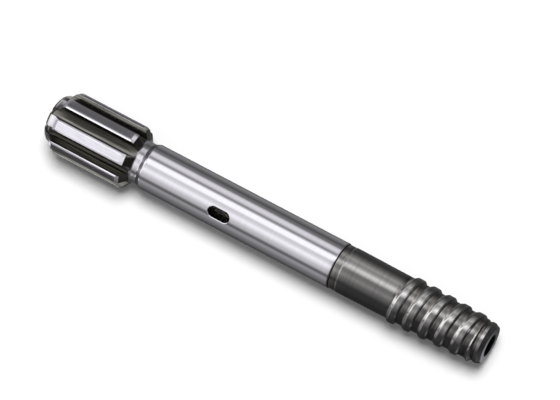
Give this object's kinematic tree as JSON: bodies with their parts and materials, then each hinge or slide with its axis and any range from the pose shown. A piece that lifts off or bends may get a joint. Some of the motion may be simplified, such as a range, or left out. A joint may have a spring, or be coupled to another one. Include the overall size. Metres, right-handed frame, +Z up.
{
  "type": "shank adapter",
  "caption": "One-piece drifter shank adapter: eight-spline striking head, ground journal with oblong flushing slot and bore, coarse left-hand thread.",
  "frame": {"origin": "middle of the flat striking face, on the axis of the tool", "axes": "+X along the axis from the striking face to the nose, +Z up as the tool lies on two splines and a thread crest"},
  "size_m": [0.435, 0.0568, 0.0568],
  "materials": {
    "alloy_steel": "carburised alloy steel: bright ground journal, dark hardened head, body and thread"
  },
  "bodies": {
    "root": {"shank_adapter": "alloy_steel"}
  },
  "joints": []
}
